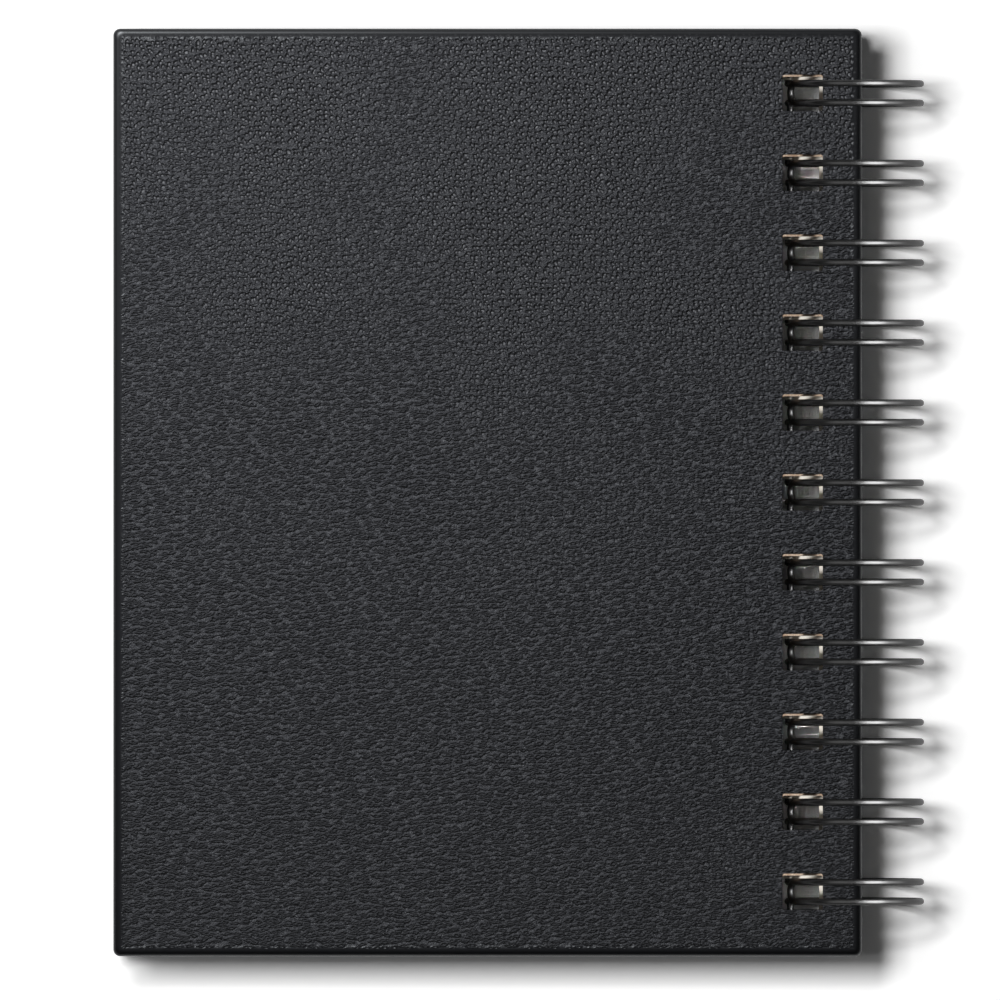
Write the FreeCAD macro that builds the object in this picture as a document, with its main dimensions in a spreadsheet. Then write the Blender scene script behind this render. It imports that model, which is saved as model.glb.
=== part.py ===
import FreeCAD, Part
import math
import os
import Sketcher

# A wire-bound hardcover notebook lying on its front cover, with the back cover upwards.
# The binding is at the right (+X), the head of the pages is at +Y, and Z = 0 is the lowest
# point of the loops. The origin is under the middle of the whole object.
# Each cover is a board wrapped in thin leather-like sheet, turned in and lined with paper.
# One wire, bent to twin loops joined by short links, runs through all the punched holes.

# Driving dimensions in millimetres.
SIZES = {
    "cover_width": 119.0,
    "cover_height": 147.5,
    "board_thickness": 1.6,
    "wrap_thickness": 0.3,
    "lining_thickness": 0.15,
    "cover_edge_radius": 0.85,
    "turn_in": 15.0,
    "mitre_slit": 0.25,
    "lining_margin": 3.0,
    "block_thickness": 5.9,
    "page_inset": 2.5,
    "page_spine_inset": 1.0,
    "layer_gap": 0.1,
    "loop_pitch": 12.7,
    "row_end_margin": 9.0,
    "hole_edge_distance": 6.2,
    "hole_end_play": 0.35,
    "hole_side_play": 0.8,
    "wire_diameter": 1.1,
    "leg_spacing": 3.1,
    "loop_setback": 1.15,
    "hinge_offset": 0.05,
    "swing_clearance": 0.15,
    "bend_radius": 1.0,
    "tip_gap": 0.15,
    "end_stub": 2.2,
}

# Straight chords in a full turn of a leg, and in each bend and nose of a loop.
LEG_CHORDS = 28
BEND_CHORDS = 3
NOSE_CHORDS = 6
# An edge with less rise than this, in millimetres, is level.
FLAT = 1e-3

doc = FreeCAD.newDocument("notebook")
sheet = doc.addObject("Spreadsheet::Sheet", "Size")
for row, (alias, number) in enumerate(SIZES.items(), start=1):
    sheet.set(f"A{row}", alias)
    sheet.set(f"B{row}", str(number))
    sheet.setAlias(f"B{row}", alias)
doc.recompute()


def named(formula):
    """Put the sheet's name before each driving dimension in a formula."""
    for alias in sorted(SIZES, key=len, reverse=True):
        formula = formula.replace(f"[{alias}]", f"Size.{alias}")
    return f"({formula})"


def value(formula):
    """The present value of a formula, in millimetres."""
    return float(sheet.evalExpression(formula))


# Sizes that follow from the driving ones. The loops are just large enough for the strip
# between holes and spine edge to swing inside them, about a hinge line at the spine edge.
COVER_THICKNESS = named("[board_thickness] + 2 * [wrap_thickness] + [lining_thickness]")
INNER_GAP = named("[block_thickness] + [wire_diameter] + 3 * [layer_gap]")
HALF_STACK = f"({INNER_GAP} / 2 + {COVER_THICKNESS})"
STRIP_REACH = f"sqrt({named('[hole_edge_distance] + [hinge_offset]')} ^ 2 + {HALF_STACK} ^ 2)"
LOOP_BORE = f"({STRIP_REACH} + {named('[loop_setback] + [hinge_offset] + [swing_clearance]')})"
LOOP_OUTSIDE = f"({LOOP_BORE} + {named('[wire_diameter]')})"
LOOP_RADIUS = f"({LOOP_OUTSIDE} - {named('[wire_diameter]')} / 2)"
MID_LEVEL = LOOP_OUTSIDE
LOOP_OVERHANG = f"({LOOP_OUTSIDE} - {named('[loop_setback]')})"
SPINE_X = f"(({named('[cover_width]')} - {LOOP_OVERHANG}) / 2)"
HOLE_LENGTH = f"({LOOP_OUTSIDE} + {named('[loop_setback] - [hole_edge_distance] + [hole_end_play]')})"
HOLE_WIDTH = named("[leg_spacing] + [wire_diameter] + 2 * [hole_side_play]")
# As many loops as fit between the margins at the head and the tail.
LOOP_STEPS = f"floor({named('([cover_height] - 2 * [row_end_margin]) / [loop_pitch]')})"
HOLE_ROW = f"({LOOP_STEPS} * {named('[loop_pitch]')})"


def plane_of(body, role):
    """The body's own origin plane with this role."""
    return next(f for f in body.Origin.OriginFeatures if f.Role == role)


def new_body(label):
    """An empty body, named for its sub-part."""
    body = doc.addObject("PartDesign::Body", label)
    body.Label = label
    return body


def rectangle(body, name, width, height, x="0", y="0", level="0", frame=None):
    """A rectangle parallel to XY, centred on (x, y) at a level, with every size a formula.

    A frame is a second rectangle about the first, as (width, height): the area between
    the two is then the profile.
    """
    sketch = body.newObject("Sketcher::SketchObject", name)
    sketch.AttachmentSupport = (plane_of(body, "XY_Plane"), [""])
    sketch.MapMode = "FlatFace"
    for axis, place in (("x", x), ("y", y), ("z", level)):
        sketch.setExpression(f"AttachmentOffset.Base.{axis}", place)
    outlines = [(width, height)] + ([frame] if frame else [])
    for number, (across, along) in enumerate(outlines):
        half_x, half_y = value(across) / 2, value(along) / 2
        corners = [
            FreeCAD.Vector(sx * half_x, sy * half_y, 0)
            for sx, sy in ((-1, -1), (1, -1), (1, 1), (-1, 1))
        ]
        first = 4 * number
        for i in range(4):
            sketch.addGeometry(Part.LineSegment(corners[i], corners[(i + 1) % 4]))
        for i in range(4):
            kind = "Vertical" if i % 2 else "Horizontal"
            sketch.addConstraint(Sketcher.Constraint("Coincident", first + i, 2, first + (i + 1) % 4, 1))
            sketch.addConstraint(Sketcher.Constraint(kind, first + i))
        sketch.addConstraint(Sketcher.Constraint("Symmetric", first, 1, first + 2, 1, -1, 1))
        for side, half, size, word in (
            (first, half_x, across, "width"),
            (first + 1, half_y, along, "height"),
        ):
            kind = "DistanceX" if word == "width" else "DistanceY"
            index = sketch.addConstraint(Sketcher.Constraint(kind, side, 1, side, 2, 2 * half))
            sketch.renameConstraint(index, f"{word}{number}")
            sketch.setExpression(f"Constraints.{word}{number}", size)
    return sketch


def pad(body, name, sketch, length):
    """Material from a sketch upwards."""
    feature = body.newObject("PartDesign::Pad", name)
    feature.Profile = sketch
    feature.setExpression("Length", length)
    doc.recompute()
    return feature


def pocket(body, name, sketch, depth):
    """A cut from a sketch downwards, which has to take something away."""
    before = body.Shape.Volume
    feature = body.newObject("PartDesign::Pocket", name)
    feature.Profile = sketch
    feature.setExpression("Length", depth)
    doc.recompute()
    if body.Shape.Volume >= before:
        raise RuntimeError(f"{name} of {body.Label} cuts nothing")
    return feature


def punch(body, spine_edge, top, depth):
    """The row of punched holes: the one nearest the tail, repeated towards the head."""
    sketch = rectangle(
        body,
        "HoleOutline",
        HOLE_LENGTH,
        HOLE_WIDTH,
        x=f"{spine_edge} - {named('[hole_edge_distance]')} - {HOLE_LENGTH} / 2",
        y=f"-{HOLE_ROW} / 2",
        level=top,
    )
    hole = pocket(body, "Hole", sketch, depth)
    holes = body.newObject("PartDesign::LinearPattern", "Holes")
    holes.Originals = [hole]
    holes.Direction = (sketch, ["V_Axis"])
    holes.setExpression("Length", HOLE_ROW)
    holes.setExpression("Occurrences", f"{LOOP_STEPS} + 1")
    body.Tip = holes
    doc.recompute()


def place(body, x, level, turned):
    """Put a body at (x, 0, level), turned over about X where its outside faces up."""
    if turned:
        body.Placement = FreeCAD.Placement(
            FreeCAD.Vector(), FreeCAD.Rotation(FreeCAD.Vector(1, 0, 0), 180)
        )
    body.setExpression("Placement.Base.x", x)
    body.setExpression("Placement.Base.z", level)


# A cover is modelled with its outer face at Z = 0 and its centre on Z, inside upwards.
COVER_SPINE_EDGE = named("[cover_width] / 2")
BOARD_TOP = named("[wrap_thickness] + [board_thickness]")
TURN_IN_TOP = named("2 * [wrap_thickness] + [board_thickness]")
WINDOW_WIDTH = named("[cover_width] - 2 * [turn_in]")
WINDOW_HEIGHT = named("[cover_height] - 2 * [turn_in]")
MITRE_SHIFT = named("[mitre_slit] / sqrt(8)")


def make_board(label):
    """The stiff board: a plain punched plate, one wrap thickness inside the cover's edges."""
    body = new_body(label)
    outline = rectangle(
        body,
        "Outline",
        named("[cover_width] - 2 * [wrap_thickness]"),
        named("[cover_height] - 2 * [wrap_thickness]"),
        level=named("[wrap_thickness]"),
    )
    pad(body, "Plate", outline, named("[board_thickness]"))
    punch(body, COVER_SPINE_EDGE, BOARD_TOP, named("[board_thickness]"))
    return body


def make_wrap(label):
    """The covering sheet: round all four edges of the board and turned in, mitred at the corners."""
    body = new_body(label)
    outline = rectangle(body, "Outline", named("[cover_width]"), named("[cover_height]"))
    slab = pad(body, "Slab", outline, TURN_IN_TOP)
    level_edges = [
        f"Edge{i + 1}" for i, edge in enumerate(slab.Shape.Edges) if edge.BoundBox.ZLength < FLAT
    ]
    rounding = body.newObject("PartDesign::Fillet", "RoundedEdges")
    rounding.Base = (slab, level_edges)
    rounding.setExpression("Radius", named("[cover_edge_radius]"))
    doc.recompute()
    cavity = rectangle(
        body,
        "BoardOutline",
        named("[cover_width] - 2 * [wrap_thickness]"),
        named("[cover_height] - 2 * [wrap_thickness]"),
        level=BOARD_TOP,
    )
    window = rectangle(body, "WindowOutline", WINDOW_WIDTH, WINDOW_HEIGHT, level=TURN_IN_TOP)
    pocket(body, "Window", window, named("[wrap_thickness]"))
    pocket(body, "BoardSpace", cavity, named("[board_thickness]"))
    for sx, sy in ((-1, -1), (1, -1), (1, 1), (-1, 1)):
        before = body.Shape.Volume
        slit = body.newObject("PartDesign::SubtractiveBox", "Mitre")
        slit.AttachmentSupport = (plane_of(body, "XY_Plane"), [""])
        slit.MapMode = "FlatFace"
        slit.setExpression("Length", named("([turn_in] + [mitre_slit] - 2 * [cover_edge_radius]) * sqrt(2)"))
        slit.setExpression("Width", named("[mitre_slit]"))
        slit.setExpression("Height", named("[wrap_thickness]"))
        slit.AttachmentOffset = FreeCAD.Placement(
            FreeCAD.Vector(),
            FreeCAD.Rotation(FreeCAD.Vector(0, 0, 1), math.degrees(math.atan2(sy, sx))),
        )
        for axis, place in (
            ("x", f"{sx} * ({WINDOW_WIDTH} / 2 - {named('[mitre_slit]')}) + {sy} * {MITRE_SHIFT}"),
            ("y", f"{sy} * ({WINDOW_HEIGHT} / 2 - {named('[mitre_slit]')}) - {sx} * {MITRE_SHIFT}"),
            ("z", BOARD_TOP),
        ):
            slit.setExpression(f"AttachmentOffset.Base.{axis}", place)
        doc.recompute()
        if body.Shape.Volume >= before:
            raise RuntimeError(f"a mitre of {label} cuts nothing")
    punch(body, COVER_SPINE_EDGE, TURN_IN_TOP, TURN_IN_TOP)
    return body


def make_lining(label):
    """The lining paper: over the turned-in edges, and down onto the board between them."""
    body = new_body(label)
    width = named("[cover_width] - 2 * [lining_margin]")
    height = named("[cover_height] - 2 * [lining_margin]")
    total = named("[wrap_thickness] + [lining_thickness]")
    outline = rectangle(body, "Outline", width, height, level=BOARD_TOP)
    pad(body, "Sheet", outline, total)
    underside = rectangle(
        body, "OverTurnIns", WINDOW_WIDTH, WINDOW_HEIGHT, level=TURN_IN_TOP, frame=(width, height)
    )
    pocket(body, "Step", underside, named("[wrap_thickness]"))
    hollow = rectangle(
        body,
        "HollowOutline",
        f"{WINDOW_WIDTH} - 2 * {named('[lining_thickness]')}",
        f"{WINDOW_HEIGHT} - 2 * {named('[lining_thickness]')}",
        level=COVER_THICKNESS,
    )
    pocket(body, "Hollow", hollow, named("[wrap_thickness]"))
    punch(body, COVER_SPINE_EDGE, COVER_THICKNESS, named("[lining_thickness]"))
    return body


def make_page_block(label):
    """All the sheets as one punched block, standing on Z = 0 with its spine edge at X = 0."""
    body = new_body(label)
    width = named("[cover_width] - [page_inset] - [page_spine_inset]")
    outline = rectangle(
        body, "Outline", width, named("[cover_height] - 2 * [page_inset]"), x=f"-{width} / 2"
    )
    pad(body, "Sheets", outline, named("[block_thickness]"))
    punch(body, named("[page_spine_inset]"), named("[block_thickness]"), named("[block_thickness]"))
    return body


def arc_points(start, heading, end, chords):
    """The points after start, evenly spaced, on the arc that leaves it along heading and meets end."""
    chord = end - start
    along = chord * (1 / chord.Length)
    bow = heading - along * heading.dot(along)
    turn = math.acos(heading.dot(along))
    crown = (start + end) * 0.5 + bow * (chord.Length / 2 * math.tan(turn / 2) / bow.Length)
    return Part.Arc(start, crown, end).toShape().discretize(Number=chords + 1)[1:]


def seam_angle():
    """Where the legs leave their bends, as an angle about the loops' axis from +X towards +Z.

    It puts the links between the back cover and the last sheet.
    """
    ring = value(LOOP_RADIUS)
    bend = value(named("[bend_radius]"))
    link_level = value(f"{INNER_GAP} / 2 - {named('[layer_gap] + [wire_diameter] / 2')}")
    return math.pi + math.atan2(bend, ring) - math.asin(link_level / math.hypot(ring, bend))


def twin_loop():
    """One twin loop of the wire's centre line: out along one leg, round the tip and back."""
    wire = value(named("[wire_diameter]"))
    ring = value(LOOP_RADIUS)
    bend = value(named("[bend_radius]"))
    half_leg = value(named("[leg_spacing] / 2"))
    tip_gap = value(named("[tip_gap]"))
    base = seam_angle()
    up = FreeCAD.Vector(math.sin(base), 0, -math.cos(base))
    across = FreeCAD.Vector(0, 1, 0)

    # The round nose rests above the bends of its own loop, a named gap from both.
    reach = half_leg + bend
    nested = math.sqrt((reach + wire + tip_gap) ** 2 - reach**2) - bend
    shoulder = 2 * math.pi + base - (bend + nested) / ring

    def at(angle, y):
        """A point on the loops' cylinder."""
        return FreeCAD.Vector(ring * math.cos(angle), y, ring * math.sin(angle))

    # A leg is nearly a full turn, in even chords that meet straight below, beside and above.
    step = 2 * math.pi / LEG_CHORDS
    first, last = math.ceil(base / step + 0.5), math.floor(shoulder / step - 0.5)
    turns = [base] + [i * step for i in range(first, last + 1)] + [shoulder]

    points = [at(base, -half_leg - bend) + up * bend]
    points += arc_points(points[-1], across, at(base, -half_leg), BEND_CHORDS)
    points += [at(angle, -half_leg) for angle in turns[1:]]
    down = FreeCAD.Vector(-math.sin(shoulder), 0, math.cos(shoulder))
    points += arc_points(points[-1], down, at(shoulder, half_leg), NOSE_CHORDS)
    points += [at(angle, half_leg) for angle in reversed(turns[:-1])]
    points += arc_points(points[-1], up, at(base, half_leg + bend) + up * bend, BEND_CHORDS)
    return points


def make_binding_wire(label):
    """One wire through all the loops and the links between them, ending in a cut stub each side."""
    pitch = value(named("[loop_pitch]"))
    steps = round(value(LOOP_STEPS))
    stub = FreeCAD.Vector(0, value(named("[end_stub]")), 0)
    loop = twin_loop()
    points = []
    for i in range(steps + 1):
        shift = FreeCAD.Vector(0, (i - steps / 2) * pitch, 0)
        points += [point + shift for point in loop]
    points = [points[0] - stub] + points + [points[-1] + stub]
    path = doc.addObject("Part::Feature", "WirePath")
    path.Shape = Part.makePolygon(points)

    # Six sides stand for the round wire, with its own height, width and area of section.
    section = doc.addObject("Sketcher::SketchObject", "WireSection")
    size = value(named("[wire_diameter]"))
    flat = size * (math.pi / 2 - 1)
    corners = [
        FreeCAD.Vector(x / 2, y / 2, 0)
        for x, y in ((-flat, -size), (flat, -size), (size, 0), (flat, size), (-flat, size), (-size, 0))
    ]
    for i in range(6):
        section.addGeometry(Part.LineSegment(corners[i], corners[(i + 1) % 6]))
    for i in range(6):
        section.addConstraint(Sketcher.Constraint("Coincident", i, 2, (i + 1) % 6, 1))
    for i in range(3):
        section.addConstraint(Sketcher.Constraint("Symmetric", i, 1, i + 3, 1, -1, 1))
    section.addConstraint(Sketcher.Constraint("Horizontal", 0))
    section.addConstraint(Sketcher.Constraint("Vertical", 0, 2, 2, 2))
    section.addConstraint(Sketcher.Constraint("PointOnObject", 2, 1, -1))
    for name, kind, first, second, size_of in (
        ("flat", "DistanceX", (0, 1), (0, 2), "* (pi / 2 - 1)"),
        ("width", "DistanceX", (5, 1), (2, 1), ""),
        ("height", "DistanceY", (0, 2), (2, 2), ""),
    ):
        length = section.getPoint(*second) - section.getPoint(*first)
        length = length.x if kind == "DistanceX" else length.y
        index = section.addConstraint(Sketcher.Constraint(kind, *first, *second, length))
        section.renameConstraint(index, name)
        section.setExpression(f"Constraints.{name}", f"{named('[wire_diameter]')} {size_of}")
    base = seam_angle()
    section.Placement = FreeCAD.Placement(
        points[0],
        FreeCAD.Rotation(
            FreeCAD.Vector(math.sin(base), 0, -math.cos(base)),
            FreeCAD.Vector(math.cos(base), 0, math.sin(base)),
            FreeCAD.Vector(0, -1, 0),
            "ZXY",
        ),
    )

    wire = doc.addObject("Part::Sweep", label)
    wire.Label = label
    wire.Sections = [section]
    wire.Spine = (path, [f"Edge{i + 1}" for i in range(len(path.Shape.Edges))])
    wire.Solid = True
    wire.Frenet = False
    wire.Transition = "Right corner"
    wire.setExpression("Placement.Base.x", f"{SPINE_X} - {named('[loop_setback]')}")
    wire.setExpression("Placement.Base.z", MID_LEVEL)
    doc.recompute()
    expected = path.Shape.Length * math.pi * size**2 / 4
    print(
        f"{label}: {path.Shape.Length:.1f} mm of wire, "
        f"volume {wire.Shape.Volume:.2f} of {expected:.2f} mm3"
    )
    return wire


parts = []
cover_x = f"{SPINE_X} - {COVER_SPINE_EDGE}"
for side, level, turned in (
    ("front", f"{MID_LEVEL} - {HALF_STACK}", False),
    ("back", f"{MID_LEVEL} + {HALF_STACK}", True),
):
    for made in (
        make_board(f"{side}_cover_board"),
        make_wrap(f"{side}_cover_wrap"),
        make_lining(f"{side}_cover_lining"),
    ):
        place(made, cover_x, level, turned)
        parts.append(made)

pages = make_page_block("page_block")
place(
    pages,
    f"{SPINE_X} - {named('[page_spine_inset]')}",
    f"{MID_LEVEL} - {INNER_GAP} / 2 + {named('[layer_gap]')}",
    False,
)
parts.append(pages)
parts.append(make_binding_wire("twin_loop_wire"))
doc.recompute()

for item in doc.Objects:
    if "Invalid" in item.State or "Error" in item.State:
        raise RuntimeError(f"{item.Label} failed: {item.State}")
os.makedirs("parts", exist_ok=True)
for part in parts:
    shape = part.Shape
    if shape.isNull() or not shape.isValid() or not shape.Solids:
        raise RuntimeError(f"{part.Label} has no valid solid")
    box = shape.BoundBox
    print(
        f"{part.Label}: {len(shape.Solids)} solid, {shape.Volume:.1f} mm3, "
        f"x {box.XMin:.2f} to {box.XMax:.2f}, y {box.YMin:.2f} to {box.YMax:.2f}, "
        f"z {box.ZMin:.2f} to {box.ZMax:.2f}"
    )
    shape.exportStep(f"parts/{part.Label}.step")
print(f"loops {2 * value(LOOP_OUTSIDE):.2f} across, holes {value(HOLE_LENGTH):.2f} by {value(HOLE_WIDTH):.2f}")
print(f"half the stack {value(HALF_STACK):.2f}, spine edge at x {value(SPINE_X):.2f}")
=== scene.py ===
"""A wire-bound hardcover notebook seen from above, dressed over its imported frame.

Lengths are written in millimetres and turned to metres where a mesh is made. The spine is at +X,
the head of the pages at +Y, and the floor at Z = 0.
"""

import logging
import math
from dataclasses import dataclass, field, replace
from enum import Enum

import bmesh
import bpy
from bmesh.types import BMesh, BMVert
from bpy.types import Collection, Material, Node, NodeSocket, NodeTree, Object
from mathutils import Matrix, Vector


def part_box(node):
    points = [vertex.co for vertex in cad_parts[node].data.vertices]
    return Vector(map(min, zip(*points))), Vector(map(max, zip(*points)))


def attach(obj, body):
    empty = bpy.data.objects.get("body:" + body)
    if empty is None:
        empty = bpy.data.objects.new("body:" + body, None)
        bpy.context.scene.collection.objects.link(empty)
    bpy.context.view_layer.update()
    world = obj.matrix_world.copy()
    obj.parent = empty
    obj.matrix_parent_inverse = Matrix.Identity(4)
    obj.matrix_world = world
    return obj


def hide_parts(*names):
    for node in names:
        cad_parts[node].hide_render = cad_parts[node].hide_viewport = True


logging.basicConfig(level=logging.INFO, format="%(levelname)s %(message)s")
log = logging.getLogger("notebook")

MM = 0.001
WELD_UNDER = 1e-7
Point2 = tuple[float, float]
Point3 = tuple[float, float, float]
Colour = tuple[float, float, float, float]
Number = NodeSocket | float
Ring = list[Vector]


class Slot(Enum):
    """Material slot names, listed beside the covers' pieces but not given to them here."""

    LEATHERETTE = "leatherette"
    GREYBOARD = "greyboard"
    PAPER = "page_paper"
    WIRE = "coated_wire"


class Side(Enum):
    """The two covers. The back cover lies on top."""

    FRONT = "front"
    BACK = "back"


@dataclass(frozen=True)
class Box:
    """A node's box at rest, in millimetres."""

    low: Vector
    high: Vector

    @classmethod
    def of(cls, node: str) -> "Box":
        """Reads a CAD node's box from the frame.

        Args:
            node: The node's name.

        Returns:
            The box in millimetres.
        """
        low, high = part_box(node)
        return cls(Vector(low) / MM, Vector(high) / MM)


class Graph:
    """A node tree with short calls that add and join nodes."""

    def __init__(self, tree: NodeTree) -> None:
        """Empties the tree and keeps it."""
        self.tree = tree
        self.tree.nodes.clear()

    def add(self, kind: str, settings: dict | None = None, inputs: dict | None = None) -> Node:
        """Adds one node.

        Args:
            kind: The node's type name.
            settings: Properties of the node itself.
            inputs: Values or output sockets for its inputs, by name or number.

        Returns:
            The new node.
        """
        node = self.tree.nodes.new(kind)
        for name, setting in (settings or {}).items():
            setattr(node, name, setting)
        for name, given in (inputs or {}).items():
            if isinstance(given, NodeSocket):
                self.tree.links.new(given, node.inputs[name])
            else:
                node.inputs[name].default_value = given
        return node

    def maths(self, operation: str, first: Number, second: Number = 0.0, third: Number = 0.0) -> NodeSocket:
        """Works out one operation on up to three numbers."""
        inputs = {0: first, 1: second, 2: third}
        return self.add("ShaderNodeMath", {"operation": operation}, inputs).outputs[0]

    def vector(self, **parts: Number) -> NodeSocket:
        """Joins the numbers X, Y and Z to a vector."""
        return self.add("ShaderNodeCombineXYZ", None, parts).outputs[0]

    def vector_maths(self, operation: str, inputs: dict) -> NodeSocket:
        """Works out one operation on vectors, given by input name or number."""
        return self.add("ShaderNodeVectorMath", {"operation": operation}, inputs).outputs[0]

    def blend(self, factor: Number, first: NodeSocket | Colour, second: NodeSocket | Colour) -> NodeSocket:
        """Mixes two colours. The factor is how much of the second one there is."""
        inputs = {0: factor, 6: first, 7: second}
        return self.add("ShaderNodeMix", {"data_type": "RGBA"}, inputs).outputs[2]

    def spread(self, given: NodeSocket, low: float, high: float, first: Number, last: Number) -> NodeSocket:
        """Maps a range of a number smoothly to another range.

        Args:
            given: The number's socket.
            low: Start of the range that comes in.
            high: End of the range that comes in.
            first: What low becomes.
            last: What high becomes.

        Returns:
            The mapped number's socket.
        """
        inputs = {"Value": given, "From Min": low, "From Max": high, "To Min": first, "To Max": last}
        settings = {"interpolation_type": "SMOOTHSTEP"}
        return self.add("ShaderNodeMapRange", settings, inputs).outputs[0]

    def seen_rays(self) -> NodeSocket:
        """Tells rays that show a thing from those that light it.

        Returns:
            1 for rays that show it directly, mirrored or through glass, and 0 for the others.
        """
        rays = self.add("ShaderNodeLightPath").outputs
        seen = self.maths("MAXIMUM", rays["Is Camera Ray"], rays["Is Glossy Ray"])
        return self.maths("MAXIMUM", seen, rays["Is Transmission Ray"])


class Finish(Graph):
    """A material's node tree."""

    def __init__(self, name: str) -> None:
        """Makes the material with an empty tree.

        Args:
            name: Its name.
        """
        self.material = bpy.data.materials.new(name)
        self.material.use_nodes = True
        super().__init__(self.material.node_tree)

    def millimetres(self, scale: Point3 = (1.0, 1.0, 1.0), turn: float = 0.0) -> NodeSocket:
        """Object coordinates in millimetres, stretched and turned about Z.

        Args:
            scale: How much each axis is stretched.
            turn: The turn in degrees.

        Returns:
            The coordinates' socket.
        """
        inputs = {
            "Vector": self.add("ShaderNodeTexCoord").outputs["Object"],
            "Rotation": (0.0, 0.0, math.radians(turn)),
            "Scale": tuple(part / MM for part in scale),
        }
        return self.add("ShaderNodeMapping", None, inputs).outputs[0]

    def noise(
        self, where: NodeSocket, scale: float, detail: float, roughness: float = 0.5, flat: bool = False
    ) -> Node:
        """Adds a noise texture.

        Args:
            where: Coordinates in millimetres.
            scale: Its features in a millimetre.
            detail: How many finer layers it has.
            roughness: How strong the finer layers are.
            flat: Whether it leaves Z out.

        Returns:
            The texture's node.
        """
        inputs = {"Vector": where, "Scale": scale, "Detail": detail, "Roughness": roughness}
        return self.add("ShaderNodeTexNoise", {"noise_dimensions": "2D" if flat else "3D"}, inputs)

    def coat(self, height: NodeSocket, depth: float, inputs: dict, inward: bool = False) -> Material:
        """Ends the material with one shader over a relief.

        Args:
            height: The relief's height, from 0 to 1.
            depth: What a height of 1 is, in millimetres.
            inputs: The shader's other inputs, by name.
            inward: Whether the relief goes inwards.

        Returns:
            The material.
        """
        bump = self.add("ShaderNodeBump", {"invert": inward}, {"Height": height, "Distance": depth * MM})
        inputs = {**inputs, "Normal": bump.outputs[0]}
        return self.close(self.add("ShaderNodeBsdfPrincipled", None, inputs))

    def close(self, shader: Node) -> Material:
        """Ends the material with a shader."""
        self.add("ShaderNodeOutputMaterial", None, {"Surface": shader.outputs[0]})
        return self.material


def grey(level: float) -> Colour:
    """A neutral colour of that linear level."""
    return (level, level, level, 1.0)


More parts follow.
